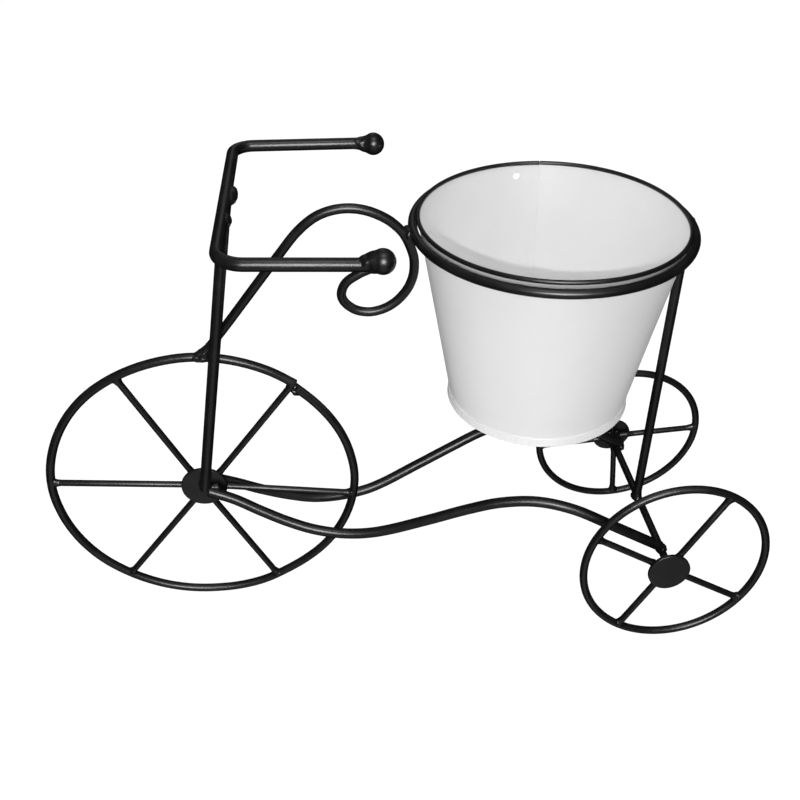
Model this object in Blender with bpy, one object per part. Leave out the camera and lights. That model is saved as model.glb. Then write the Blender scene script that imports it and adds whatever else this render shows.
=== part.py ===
# Plant stand shaped like a three-wheeled cycle, with a pot that drops into a ring.
# Metres, +Z up, front wheel at -X, origin on the floor under the middle of the length.
import math

import bmesh
import bpy
from mathutils import Matrix, Vector
from mathutils.geometry import interpolate_bezier

# Wheels. Spoke angles are degrees from +X towards +Z, seen from the left side (-Y)
front_wheel_diameter = 0.250
rear_wheel_diameter = 0.156
wheelbase = 0.376
rear_track = 0.168
rear_wheel_lean = math.radians(3.8)
front_rim_rod_diameter = 0.007
rear_rim_rod_diameter = 0.0064
spoke_diameter = 0.0053
front_spoke_angles = (-10, 49, 117, 175, 233, 294)
left_spoke_angles = (-33, 58, 149, 240)
right_spoke_angles = (4, 94, 184, 277)

# Hubs. The discs lie on the outer side of the spokes
front_disc_diameter = 0.037
rear_disc_diameter = 0.036
disc_thickness = 0.003
disc_edge_bevel = 0.0006
front_spoke_start = 0.007
rear_hub_forward = 0.005
rear_hub_drop = 0.003

# Rods of the frame
axle_diameter = 0.0063
front_post_diameter = 0.0085
front_post_setback = 0.0008
post_foot_rise = 0.0015
post_crossing_rise = 0.015
rear_post_diameter = 0.0075
rear_post_forward = 0.002
frame_rod_diameter = 0.0086
frame_rod_inset = 0.017
frame_rod_landing_angle = math.radians(28)
scroll_diameter = 0.007
scroll_seat_angle = math.radians(31)
weld_gap = 0.0003

# Handlebar. Its two arms are bent by hand and differ a little, and the balls sit off centre
handlebar_diameter = 0.0087
handlebar_height = 0.373
handlebar_setback = 0.044
handlebar_width = 0.1934
handlebar_bend = 0.011
handlebar_turn = math.radians(-1.3)
handlebar_tilt = math.radians(-0.8)
left_arm_reach = 0.0915
right_arm_reach = 0.0957
left_arm_drop = 0.0041
right_arm_drop = 0.0008
left_ball_lift = 0.0028
right_ball_drop = 0.0007
grip_ball_diameter = 0.0168

# Ring and pot
ring_height = 0.3434
ring_diameter = 0.198
ring_rod_diameter = 0.007
pot_ring_clearance = 0.0008
pot_floor_height = 0.2032
pot_foot_diameter = 0.1384
sheet_thickness = 0.001
rim_bead_diameter = 0.0038
rim_bead_height = 0.3494
skirt_height = 0.006
skirt_step = 0.0008
skirt_flare = 0.0006
ear_hole_diameter = 0.0055
ear_hole_drop = 0.0041
ear_hole_angle = math.radians(94.3)
cut_overrun = 0.005

# Fineness of the round shapes
rod_sides = 10
spoke_sides = 8
bead_sides = 8
wheel_segments = 48
pot_segments = 64
path_steps = 2
bend_steps = 5

# Route of each frame rod: shares of the run to the axle, of the front hub's height,
# and of the spread between its two ends
frame_rod_route_shares = (
    (0.020, 0.985, 0.00),
    (0.065, 0.915, 0.05),
    (0.120, 0.820, 0.11),
    (0.180, 0.730, 0.17),
    (0.240, 0.664, 0.23),
    (0.310, 0.642, 0.30),
    (0.380, 0.675, 0.37),
    (0.485, 0.800, 0.48),
    (0.570, 0.903, 0.57),
    (0.640, 0.980, 0.66),
    (0.715, 1.016, 0.77),
    (0.790, 0.978, 0.90),
    (0.870, 0.877, 1.00),
)

# Route of the scroll: shares of the run from the front hub to the ring's front,
# and of the rise from the front wheel's top to the ring
scroll_rise_shares = (
    (0.187, 0.243),
    (0.265, 0.425),
    (0.342, 0.605),
    (0.450, 0.848),
    (0.524, 1.020),
    (0.592, 1.130),
    (0.655, 1.182),
    (0.722, 1.200),
    (0.788, 1.186),
    (0.852, 1.143),
    (0.912, 1.073),
)
scroll_curl_shares = (
    (0.999, 0.800),
    (1.004, 0.690),
    (0.993, 0.586),
    (0.966, 0.484),
    (0.922, 0.390),
    (0.869, 0.329),
    (0.805, 0.308),
    (0.742, 0.345),
    (0.698, 0.450),
    (0.712, 0.566),
    (0.768, 0.645),
    (0.829, 0.694),
)
scroll_start_share = 0.085

# Worked out from the sizes above
front_radius = front_wheel_diameter / 2
rear_radius = rear_wheel_diameter / 2
front_rim_radius = front_rim_rod_diameter / 2
rear_rim_radius = rear_rim_rod_diameter / 2
axle_radius = axle_diameter / 2
front_post_radius = front_post_diameter / 2
frame_rod_radius = frame_rod_diameter / 2
scroll_radius = scroll_diameter / 2
handlebar_radius = handlebar_diameter / 2
ring_radius = ring_diameter / 2
ring_rod_radius = ring_rod_diameter / 2
bead_radius = rim_bead_diameter / 2

total_length = front_radius + wheelbase + rear_radius
front_hub = Vector((front_radius - total_length / 2, 0, front_radius))
rear_wheel_x = front_hub.x + wheelbase
rear_wheel_height = (rear_radius - rear_rim_radius) * math.cos(rear_wheel_lean) + rear_rim_radius
rear_hub = Vector((-rear_hub_forward, -rear_hub_drop, 0))
axle_x = rear_wheel_x - rear_hub_forward
axle_height = rear_wheel_height - rear_hub_drop * math.cos(rear_wheel_lean)
disc_back = spoke_diameter / 2 + weld_gap
disc_front = disc_back + disc_thickness
pot_x = axle_x - rear_post_forward - ring_radius
ring_front = Vector((pot_x - ring_radius, 0, ring_height))


for old in list(bpy.data.objects):
    bpy.data.objects.remove(old, do_unlink=True)


def make_material(name, colour, metallic, roughness):
    material = bpy.data.materials.new(name)
    material.use_nodes = True
    shader = material.node_tree.nodes["Principled BSDF"]
    shader.inputs["Base Color"].default_value = (*colour, 1)
    shader.inputs["Metallic"].default_value = metallic
    shader.inputs["Roughness"].default_value = roughness
    material.diffuse_color = (*colour, 1)
    return material


black_paint = make_material("black_paint", (0.012, 0.012, 0.013), 0.0, 0.34)
white_paint = make_material("white_paint", (0.78, 0.79, 0.80), 0.0, 0.42)


def add_object(name, data, material, placement):
    part = bpy.data.objects.new(name, data)
    part.data.materials.append(material)
    part.matrix_world = placement
    bpy.context.scene.collection.objects.link(part)
    return part


def finished_mesh(bm, name, crease=40):
    bmesh.ops.recalc_face_normals(bm, faces=bm.faces)
    mesh = bpy.data.meshes.new(name)
    bm.to_mesh(mesh)
    bm.free()
    mesh.shade_smooth()
    mesh.set_sharp_from_angle(angle=math.radians(crease))
    return mesh


# A closed outline of (radius, height) turned round Z. Its flats keep the stated radius
def turned(name, outline, material, segments, placement, start_angle=0):
    bm = bmesh.new()
    stretch = 1 / math.cos(math.pi / segments)
    verts = [bm.verts.new((radius * stretch, 0, height)) for radius, height in outline]
    edges = [bm.edges.new((verts[i - 1], verts[i])) for i in range(len(verts))]
    bmesh.ops.rotate(bm, verts=verts, matrix=Matrix.Rotation(start_angle, 3, "Z"))
    bmesh.ops.spin(bm, geom=verts + edges, axis=(0, 0, 1), angle=math.tau, steps=segments,
                   use_merge=True)
    return add_object(name, finished_mesh(bm, name), material, placement)


# Section of a bent ring of rod, with one flat side facing outwards, turned by tilt
def rod_section(radius, rod_radius, sides, tilt=0):
    step = math.tau / sides
    corner = rod_radius / math.cos(step / 2)
    angles = [step * (i + 0.5) + tilt for i in range(sides)]
    return [(radius + corner * math.cos(angle), corner * math.sin(angle)) for angle in angles]


def straight_rod(name, start, end, diameter, sides=rod_sides, placement=Matrix()):
    along = end - start
    bm = bmesh.new()
    bmesh.ops.create_cone(bm, cap_ends=True, segments=sides, radius1=diameter / 2,
                          radius2=diameter / 2, depth=along.length)
    turn = along.to_track_quat("Z", "Y").to_matrix().to_4x4()
    placement = placement @ Matrix.Translation((start + end) / 2) @ turn
    return add_object(name, finished_mesh(bm, name), black_paint, placement)


def bent_rod(name, points, diameter):
    curve = bpy.data.curves.new(name, "CURVE")
    curve.dimensions = "3D"
    curve.twist_mode = "MINIMUM"
    spline = curve.splines.new("POLY")
    spline.points.add(len(points) - 1)
    for slot, point in zip(spline.points, points):
        slot.co = (*point, 1)
    spline.use_smooth = True
    curve.bevel_depth = diameter / 2
    curve.bevel_resolution = rod_sides // 2 - 2
    curve.use_fill_caps = True
    return add_object(name, curve, black_paint, Matrix())


def disc(name, diameter, thickness, bevel, material, segments, placement):
    bm = bmesh.new()
    bmesh.ops.create_cone(bm, cap_ends=True, segments=segments, radius1=diameter / 2,
                          radius2=diameter / 2, depth=thickness)
    rims = [edge for edge in bm.edges if edge.verts[0].co.z * edge.verts[1].co.z > 0]
    if bevel:
        bmesh.ops.bevel(bm, geom=rims, offset=bevel, segments=1, affect="EDGES")
    return add_object(name, finished_mesh(bm, name, 60), material, placement)


# Points of a smooth curve through every waypoint
def smooth_path(waypoints, steps=path_steps):
    last = len(waypoints) - 1
    tangents = []
    for i in range(last + 1):
        span = waypoints[min(i + 1, last)] - waypoints[max(i - 1, 0)]
        tangents.append(span.normalized())
    path = [waypoints[0]]
    for i in range(last):
        start, end = waypoints[i], waypoints[i + 1]
        reach = (end - start).length / 3
        path += interpolate_bezier(start, start + tangents[i] * reach,
                                   end - tangents[i + 1] * reach, end, steps + 1)[1:]
    return path


# Arc of the given bend radius between two straight runs
def rounded_corner(before, corner, after, bend):
    way_in = (corner - before).normalized()
    way_out = (after - corner).normalized()
    half_turn = way_in.angle(way_out) / 2
    centre = corner + (way_out - way_in).normalized() * bend / math.cos(half_turn)
    start = corner - way_in * bend * math.tan(half_turn) - centre
    axis = way_in.cross(way_out)
    turns = [2 * half_turn * i / bend_steps for i in range(bend_steps + 1)]
    return [centre + Matrix.Rotation(turn, 3, axis) @ start for turn in turns]


# A wheel is built flat, +Z outwards for the left side, and one placement stands it up
def make_wheel(name, centre, radius, rim_radius, lean, outward, hub, spoke_start, spoke_angles,
               disc_diameter):
    upright = Matrix.Rotation(math.pi / 2 - lean, 4, "X")
    placement = Matrix.Translation(centre) @ upright
    middle = radius - rim_radius
    half_step = math.pi / wheel_segments
    turned(f"{name}_rim", rod_section(middle, rim_radius, rod_sides, -lean), black_paint,
           wheel_segments, placement, half_step - math.pi / 2)
    reach = middle - rim_radius - weld_gap
    for number, degrees in enumerate(spoke_angles, 1):
        angle = math.radians(degrees)
        way = Vector((math.cos(angle), math.sin(angle), 0))
        across = hub.dot(way)
        run = math.sqrt(across ** 2 + reach ** 2 - hub.length_squared) - across
        straight_rod(f"{name}_spoke_{number}", hub + way * spoke_start, hub + way * run,
                     spoke_diameter, spoke_sides, placement)
    middle_of_disc = Vector((0, 0, outward * (disc_back + disc_front) / 2))
    disc(f"{name}_hub_disc", disc_diameter, disc_thickness, disc_edge_bevel, black_paint, 32,
         placement @ Matrix.Translation(hub + middle_of_disc))
    return placement


no_offset = Vector((0, 0, 0))
make_wheel("front_wheel", front_hub, front_radius, front_rim_radius, 0, 1, no_offset,
           front_spoke_start, front_spoke_angles, front_disc_diameter)
rear_spoke_start = axle_radius + 2 * weld_gap
hub_points = []
for name, side, angles in (("left_rear_wheel", -1, left_spoke_angles),
                           ("right_rear_wheel", 1, right_spoke_angles)):
    centre = Vector((rear_wheel_x, side * rear_track / 2, rear_wheel_height))
    stand = make_wheel(name, centre, rear_radius, rear_rim_radius, -side * rear_wheel_lean,
                       -side, rear_hub, rear_spoke_start, angles, rear_disc_diameter)
    # where the axle's end meets the back of the leaning disc
    slant = axle_radius * math.tan(rear_wheel_lean)
    seat = stand @ (rear_hub + Vector((0, 0, -side * disc_back)))
    hub_points.append(Vector((axle_x, seat.y - side * (slant + weld_gap), axle_height)))
straight_rod("rear_axle", hub_points[0], hub_points[1], axle_diameter)


# Front post: on the outer face of the hub disc, beside the rim and the scroll, up to the bar
handlebar_middle = Vector((front_hub.x + handlebar_setback, 0, handlebar_height))
foot_side = disc_front + weld_gap + front_post_radius
crossing_side = scroll_radius + weld_gap + front_post_radius
foot = Vector((front_hub.x + front_post_setback, -foot_side, front_hub.z + post_foot_rise))
crossing_height = front_wheel_diameter + post_crossing_rise
inward_slope = (foot_side - crossing_side) / (crossing_height - foot.z)
top_side = foot_side - inward_slope * (handlebar_height - foot.z)
bar_axis = Vector((handlebar_middle.x, -top_side, handlebar_height))
post_way = (bar_axis - foot).normalized()
straight_rod("front_post", foot, bar_axis - post_way * (handlebar_radius + weld_gap),
             front_post_diameter)


# Handlebar: a crossbar with both ends bent back, and a ball on each grip
bar_stand = Matrix.Rotation(handlebar_turn, 3, "Z") @ Matrix.Rotation(handlebar_tilt, 3, "X")


def bar_end(side, reach, drop):
    offset = bar_stand @ Vector((reach, side * handlebar_width / 2, 0))
    return handlebar_middle + offset - Vector((0, 0, drop))


ball_radius = grip_ball_diameter / 2
corners = [bar_end(-1, 0, 0), bar_end(1, 0, 0)]
arm_ends = [bar_end(-1, left_arm_reach, left_arm_drop), bar_end(1, right_arm_reach, right_arm_drop)]
ball_middles = []
for corner, arm_end, lift in zip(corners, arm_ends, (left_ball_lift, -right_ball_drop)):
    arm_way = (arm_end - corner).normalized()
    ball_middles.append(arm_end + arm_way * (ball_radius + weld_gap) + Vector((0, 0, lift)))
bar_path = [arm_ends[0]]
bar_path += rounded_corner(arm_ends[0], corners[0], corners[1], handlebar_bend)
bar_path += rounded_corner(corners[0], corners[1], arm_ends[1], handlebar_bend)
bar_path.append(arm_ends[1])
bent_rod("handlebar", bar_path, handlebar_diameter)
for name, ball_middle in zip(("left_grip_ball", "right_grip_ball"), ball_middles):
    bm = bmesh.new()
    bmesh.ops.create_uvsphere(bm, u_segments=16, v_segments=10, radius=ball_radius)
    placement = Matrix.Translation(ball_middle) @ Matrix.Rotation(math.pi / 2, 4, "Y")
    add_object(name, finished_mesh(bm, name), black_paint, placement)


# Scroll: rises from the front wheel's top, leans on the ring and curls back under itself
def scroll_point(along, up):
    rise = ring_height - front_wheel_diameter
    x = front_hub.x + along * (ring_front.x - front_hub.x)
    return Vector((x, 0, front_wheel_diameter + up * rise))


scroll_start = scroll_point(scroll_start_share, 0)
first_way = (scroll_point(*scroll_rise_shares[0]) - scroll_start).normalized()
resting_edge = scroll_start.x + scroll_radius * first_way.z - front_hub.x
rim_top = front_hub.z + math.sqrt(front_radius ** 2 - resting_edge ** 2)
scroll_start.z = rim_top + scroll_radius * first_way.x + weld_gap
seat_way = Vector((math.cos(scroll_seat_angle), 0, math.sin(scroll_seat_angle)))
ring_seat = ring_front - seat_way * (ring_rod_radius + scroll_radius + weld_gap)
scroll_route = [scroll_start]
scroll_route += [scroll_point(*share) for share in scroll_rise_shares]
scroll_route.append(ring_seat)
scroll_route += [scroll_point(*share) for share in scroll_curl_shares]
bent_rod("scroll_brace", smooth_path(scroll_route), scroll_diameter)


# Frame rods: from the two faces of the front hub, down, up and onto the axle
landing = axle_radius + frame_rod_radius + weld_gap
landing_x = axle_x + landing * math.sin(frame_rod_landing_angle)
landing_height = axle_height + landing * math.cos(frame_rod_landing_angle)
rod_end_side = rear_track / 2 - frame_rod_inset
for name, side, start_side in (("left_frame_rod", -1, disc_front + weld_gap + frame_rod_radius),
                               ("right_frame_rod", 1, disc_back + frame_rod_radius)):
    route = []
    for along, up, out in frame_rod_route_shares:
        x = front_hub.x + along * (axle_x - front_hub.x)
        y = side * (start_side + out * (rod_end_side - start_side))
        route.append(Vector((x, y, up * front_hub.z)))
    route.append(Vector((landing_x, side * rod_end_side, landing_height)))
    bent_rod(name, smooth_path(route), frame_rod_diameter)


# Rear post and the ring that it carries
at_pot = Matrix.Translation((pot_x, 0, 0))
ring_rear = Vector((pot_x + ring_radius, 0, ring_height - ring_rod_radius - weld_gap))
axle_top = Vector((ring_rear.x, 0, axle_height + axle_radius + weld_gap))
straight_rod("rear_post", axle_top, ring_rear, rear_post_diameter)
turned("pot_ring", rod_section(ring_radius, ring_rod_radius, rod_sides), black_paint,
       pot_segments, at_pot @ Matrix.Translation((0, 0, ring_height)))


# Pot: tapered wall, rolled rim, floor inside the wall's foot, and skirt under it.
# It lifts straight out of the ring
pot_lift = bpy.data.objects.new("pot_lift", None)
pot_lift.location = (pot_x, 0, 0)
bpy.context.scene.collection.objects.link(pot_lift)

wall_top = rim_bead_height - bead_radius - weld_gap
foot_radius = pot_foot_diameter / 2
ring_level_radius = ring_radius - ring_rod_radius - pot_ring_clearance
taper = (ring_level_radius - foot_radius) / (ring_height - pot_floor_height)


def wall_radius(height):
    return foot_radius + taper * (height - pot_floor_height)


wall = turned("pot_wall", [(foot_radius, pot_floor_height), (wall_radius(wall_top), wall_top),
                           (wall_radius(wall_top) - sheet_thickness, wall_top),
                           (foot_radius - sheet_thickness, pot_floor_height)],
              white_paint, pot_segments, at_pot)
hole_height = ring_height - ear_hole_drop
hole_reach = wall_radius(hole_height) + cut_overrun
hole_way = Vector((math.cos(ear_hole_angle), math.sin(ear_hole_angle), 0))
hole_middle = Vector((pot_x, 0, hole_height))
cutter = straight_rod("ear_hole_cutter", hole_middle - hole_way * hole_reach,
                      hole_middle + hole_way * hole_reach, ear_hole_diameter, 12)
cutter.hide_render = True
cutter.display_type = "WIRE"
cut = wall.modifiers.new("ear_holes", "BOOLEAN")
cut.operation = "DIFFERENCE"
cut.solver = "EXACT"
cut.object = cutter

bead_middle = wall_radius(rim_bead_height) - sheet_thickness / 2
bead = turned("pot_rim_bead", rod_section(bead_middle, bead_radius, bead_sides), black_paint,
              pot_segments, at_pot @ Matrix.Translation((0, 0, rim_bead_height)))
floor_diameter = pot_foot_diameter - 2 * (sheet_thickness + weld_gap)
floor = disc("pot_floor", floor_diameter, sheet_thickness, 0, white_paint, pot_segments,
             at_pot @ Matrix.Translation((0, 0, pot_floor_height + sheet_thickness / 2)))
skirt_top = pot_floor_height - weld_gap
skirt_radius = foot_radius + skirt_step
skirt = turned("pot_foot_skirt", [(skirt_radius, skirt_top),
                                  (skirt_radius - sheet_thickness, skirt_top),
                                  (skirt_radius + skirt_flare - sheet_thickness, skirt_top - skirt_height),
                                  (skirt_radius + skirt_flare, skirt_top - skirt_height)],
               white_paint, pot_segments, at_pot)
bpy.context.view_layer.update()
for piece in (wall, bead, floor, skirt):
    piece.parent = pot_lift
    piece.matrix_parent_inverse = pot_lift.matrix_world.inverted()
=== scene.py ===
# Looks of the three-wheeled plant stand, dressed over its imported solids. Metres, +Z up.
import math

import bmesh
import bpy
from mathutils import Matrix, Vector, noise
from mathutils.geometry import interpolate_bezier


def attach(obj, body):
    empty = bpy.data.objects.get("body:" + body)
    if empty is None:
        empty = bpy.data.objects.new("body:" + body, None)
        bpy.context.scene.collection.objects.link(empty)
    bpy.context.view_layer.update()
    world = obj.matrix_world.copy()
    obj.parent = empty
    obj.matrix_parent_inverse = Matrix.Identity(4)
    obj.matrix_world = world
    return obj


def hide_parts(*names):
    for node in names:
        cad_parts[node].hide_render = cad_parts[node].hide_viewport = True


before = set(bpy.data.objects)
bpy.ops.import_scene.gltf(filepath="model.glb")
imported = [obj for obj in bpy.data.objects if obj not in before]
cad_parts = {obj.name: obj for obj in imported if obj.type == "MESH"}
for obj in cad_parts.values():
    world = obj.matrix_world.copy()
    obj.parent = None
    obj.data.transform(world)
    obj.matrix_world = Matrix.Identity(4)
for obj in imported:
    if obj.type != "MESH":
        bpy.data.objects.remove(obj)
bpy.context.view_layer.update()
print("solids loaded:", len(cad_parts))


class Value:
    def __init__(self, finish, socket):
        self.finish = finish
        self.socket = socket

    def worked(self, operation, first, second):
        return self.finish.node("ShaderNodeMath", {"operation": operation}, {0: first, 1: second})

    def __add__(self, other):
        return self.worked("ADD", self, other)

    def __mul__(self, other):
        return self.worked("MULTIPLY", self, other)

    __radd__ = __add__
    __rmul__ = __mul__


class Finish:
    def __init__(self, name, fixed):
        self.material = bpy.data.materials.new(name)
        self.material.use_nodes = True
        self.tree = self.material.node_tree
        self.shader = self.tree.nodes["Principled BSDF"]
        for socket, value in fixed.items():
            self.shader.inputs[socket].default_value = value

    # any node: its type, its settings, then what goes into its sockets
    def node(self, kind, settings, sockets, output=0):
        made = self.tree.nodes.new(kind)
        for setting, value in settings.items():
            setattr(made, setting, value)
        for socket, value in sockets.items():
            self.feed(made.inputs[socket], value)
        return Value(self, made.outputs[output])

    def feed(self, socket, value):
        if isinstance(value, Value):
            self.tree.links.new(value.socket, socket)
        else:
            socket.default_value = value

    def grain(self, size, detail=2.0, roughness=0.5):
        place = self.node("ShaderNodeTexCoord", {}, {}, "Object")
        return self.node("ShaderNodeTexNoise", {}, {"Vector": place, "Scale": 1 / size,
                                                    "Detail": detail, "Roughness": roughness})

    def between(self, value, low, high):
        return self.node("ShaderNodeMapRange", {"interpolation_type": "SMOOTHSTEP"},
                         {"Value": value, "From Min": low, "From Max": high})

    def blended(self, mask, under, over):
        return self.node("ShaderNodeMix", {"data_type": "RGBA"}, {0: mask, 6: under, 7: over}, 2)

    def facingUp(self):
        normal = self.node("ShaderNodeNewGeometry", {}, {}, "Normal")
        return self.node("ShaderNodeSeparateXYZ", {}, {0: normal}, "Z")

    def bumped(self, *layers):
        normal = None
        for height, depth, strength in layers:
            sockets = {"Height": height, "Distance": depth, "Strength": strength}
            if normal:
                sockets["Normal"] = normal
            normal = self.node("ShaderNodeBump", {}, sockets)
        self.feed(self.shader.inputs["Normal"], normal)


# a grain is its size, detail and roughness, and a relief is its depth and strength
blackCoat = {
    "colour": (0.0052, 0.0052, 0.0053, 1),
    "bloom": (0.0076, 0.0076, 0.0078, 1),  # where the coat has dried a little flatter
    "dust": (0.020, 0.020, 0.0195, 1),
    "dustShare": 0.15,
    "gloss": 0.31,
    "glossSpread": 0.05,
    "shine": 0.50,
    "bloomGrain": (0.018, 3.0),
    "bloomEdges": (0.42, 0.68),
    "speckGrain": (0.0024, 4.0, 0.7),
    "speckEdges": (0.46, 0.74),
    "settleEdges": (0.35, 1.0),  # dust lies where the surface faces up
    "dustRoughness": 0.5,
    "peelGrain": (0.0016, 1.5),
    "peelRelief": (0.00005, 0.8),
    "sagGrain": (0.011, 1.0),
    "sagRelief": (0.00012, 0.5),
}


def makeBlack(name, coat):
    finish = Finish(name, {"Metallic": 0.0, "Specular IOR Level": coat["shine"]})
    cloud = finish.grain(*coat["bloomGrain"])
    peel = finish.grain(*coat["peelGrain"])
    sag = finish.grain(*coat["sagGrain"])
    bloom = finish.between(cloud, *coat["bloomEdges"])
    settled = finish.between(finish.facingUp(), *coat["settleEdges"])
    specks = finish.between(finish.grain(*coat["speckGrain"]), *coat["speckEdges"])
    dust = settled * specks * coat["dustShare"]
    colour = finish.blended(bloom, coat["colour"], coat["bloom"])
    finish.feed(finish.shader.inputs["Base Color"], finish.blended(dust, colour, coat["dust"]))
    finish.feed(finish.shader.inputs["Roughness"],
                bloom * coat["glossSpread"] + dust * coat["dustRoughness"] + coat["gloss"])
    layers = [(sag, *coat["sagRelief"]), (peel, *coat["peelRelief"])]
    if "lumpGrain" in coat:
        layers.append((finish.grain(*coat["lumpGrain"]), *coat["lumpRelief"]))
    finish.bumped(*layers)
    return finish.material


whiteCoat = {
    "colour": (0.80, 0.80, 0.80, 1),
    "shade": (0.775, 0.775, 0.777, 1),
    "speck": (0.34, 0.33, 0.31, 1),
    "speckShare": 0.5,
    "speckGrain": (0.0030, 5.0, 0.75),
    "speckEdges": (0.735, 0.79),
    "cloudGrain": (0.030, 3.0),
    "cloudEdges": (0.35, 0.70),
    "cloudShare": 0.6,
    "gloss": 0.34,
    "glossSpread": 0.12,
    "shine": 0.5,
    "peelGrain": (0.0022, 1.5),
    "peelRelief": (0.00008, 0.7),
    "waveGrain": (0.045, 1.0),
    "waveRelief": (0.0008, 0.4),
}


def makeWhite(name, coat):
    finish = Finish(name, {"Metallic": 0.0, "Specular IOR Level": coat["shine"]})
    cloud = finish.between(finish.grain(*coat["cloudGrain"]), *coat["cloudEdges"])
    specks = finish.between(finish.grain(*coat["speckGrain"]), *coat["speckEdges"])
    specks = specks * coat["speckShare"]
    colour = finish.blended(cloud * coat["cloudShare"], coat["colour"], coat["shade"])
    finish.feed(finish.shader.inputs["Base Color"],
                finish.blended(specks, colour, coat["speck"]))
    finish.feed(finish.shader.inputs["Roughness"], cloud * coat["glossSpread"] + coat["gloss"])
    finish.bumped((finish.grain(*coat["waveGrain"]), *coat["waveRelief"]),
                  (finish.grain(*coat["peelGrain"]), *coat["peelRelief"]))
    return finish.material


weldCoat = {**blackCoat, "gloss": 0.28, "lumpGrain": (0.0021, 2.0), "lumpRelief": (0.0003, 0.8)}
blackPaint = makeBlack("blackPaint", blackCoat)
weldPaint = makeBlack("paintedWeld", weldCoat)
whitePaint = makeWhite("whitePaint", whiteCoat)
print("finishes mixed")


fineness = {"rod": 24, "spoke": 20, "bead": 20, "path": 8, "bend": 14, "cut": 4, "wheel": 144,
            "rimPath": 4, "disc": 72, "collar": 12, "drop": 4, "flare": 18, "ball": 28,
            "ballSides": 48, "pot": 160, "wall": 24, "hole": 32, "floor": 96, "skirt": 8,
            "crimp": 8}


# Turns a finished bmesh into a piece that rides on its body and stands for its solid
def addPiece(name, bm, material, body, solid=None, crease=38):
    bmesh.ops.recalc_face_normals(bm, faces=bm.faces)
    mesh = bpy.data.meshes.new(name)
    bm.to_mesh(mesh)
    bm.free()
    mesh.shade_smooth()
    mesh.set_sharp_from_angle(angle=math.radians(crease))
    mesh.materials.append(material)
    piece = bpy.data.objects.new(name, mesh)
    bpy.context.scene.collection.objects.link(piece)
    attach(piece, body)
    if solid:
        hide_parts(solid)
    return piece


# Closed rings of vertices joined into a skin, with flat ends or as a loop
def skin(bm, rings, loop=False):
    rows = [[bm.verts.new(point) for point in ring] for ring in rings]
    pairs = list(zip(rows, rows[1:] + rows[:1])) if loop else list(zip(rows, rows[1:]))
    for row, following in pairs:
        for i in range(len(row)):
            bm.faces.new((row[i - 1], row[i], following[i], following[i - 1]))
    if not loop:
        bm.faces.new(rows[0][::-1])
        bm.faces.new(rows[-1])
    return rows


# Round tube along a path. Each point has its own radius
def tube(bm, path, radii, sides, loop=False):
    last = len(path) - 1
    ways = []
    for i in range(last + 1):
        before = path[i - 1] if i or loop else path[0]
        after = path[(i + 1) % (last + 1)] if i < last or loop else path[last]
        ways.append((after - before).normalized())
    across = ways[0].orthogonal().normalized()
    rings = []
    for i, way in enumerate(ways):
        if i:
            across = ways[i - 1].rotation_difference(way) @ across
            across = (across - way * across.dot(way)).normalized()
        beside = way.cross(across)
        ring = []
        for k in range(sides):
            turn = math.tau * k / sides
            ring.append(path[i] + (across * math.cos(turn) + beside * math.sin(turn)) * radii[i])
        rings.append(ring)
    return skin(bm, rings, loop)


# Path and radii of a rod whose cut ends are rounded off
def cutRod(path, radii, rounding):
    def tip(end, inner, radius):
        way = (end - inner).normalized()
        turns = [math.pi / 2 * k / fineness["cut"] for k in range(fineness["cut"] + 1)]
        return ([end - way * rounding * (1 - math.sin(turn)) for turn in turns],
                [radius - rounding * (1 - math.cos(turn)) for turn in turns])

    head, headRadii = tip(path[0], path[1], radii[0])
    tail, tailRadii = tip(path[-1], path[-2], radii[-1])
    return head[::-1] + path[1:-1] + tail, headRadii[::-1] + radii[1:-1] + tailRadii


def straightRod(bm, start, end, radius, sides, rounding=0.0007):
    path, radii = cutRod([start, start.lerp(end, 0.5), end], [radius] * 3, rounding)
    return tube(bm, path, radii, sides)


def smoothPath(waypoints, steps=fineness["path"]):
    last = len(waypoints) - 1
    tangents = []
    for i in range(last + 1):
        span = waypoints[min(i + 1, last)] - waypoints[max(i - 1, 0)]
        tangents.append(span.normalized())
    path = [waypoints[0]]
    for i in range(last):
        start, end = waypoints[i], waypoints[i + 1]
        reach = (end - start).length / 3
        path += interpolate_bezier(start, start + tangents[i] * reach,
                                   end - tangents[i + 1] * reach, end, steps + 1)[1:]
    return path


def moved(bm, placement):
    bmesh.ops.transform(bm, matrix=placement, verts=bm.verts)


# Outline of (radius, height) turned round the upright axis: a solid one has flat ends and a
# hollow one joins its last point to its first. drift moves a point outwards
def turned(bm, outline, columns, hollow=False, drift=None):
    rings = []
    for radius, height in outline:
        ring = []
        for angle in columns:
            reach = radius + (drift(angle, height) if drift else 0)
            ring.append(Vector((reach * math.cos(angle), reach * math.sin(angle), height)))
        rings.append(ring)
    return skin(bm, rings, hollow)


def evenColumns(count):
    return [math.tau * k / count for k in range(count)]


seedSteps = (7.31, 3.17, 1.73)  # keep one seed's noise well away from another's


def roughness(point, size, seed):
    return noise.noise(point / size + Vector([seed * step for step in seedSteps]))


weld = {"cover": 0.00006, "lump": 0.00035, "lumpSize": 0.0028, "lumpCurve": 0.6, "lean": 0.35,
        "leanSize": 0.01, "thinning": 0.00008, "footCurve": 2.3, "girthCurve": 1.5,
        "dropLump": 0.12, "dropLumpSize": 0.003}


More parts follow.
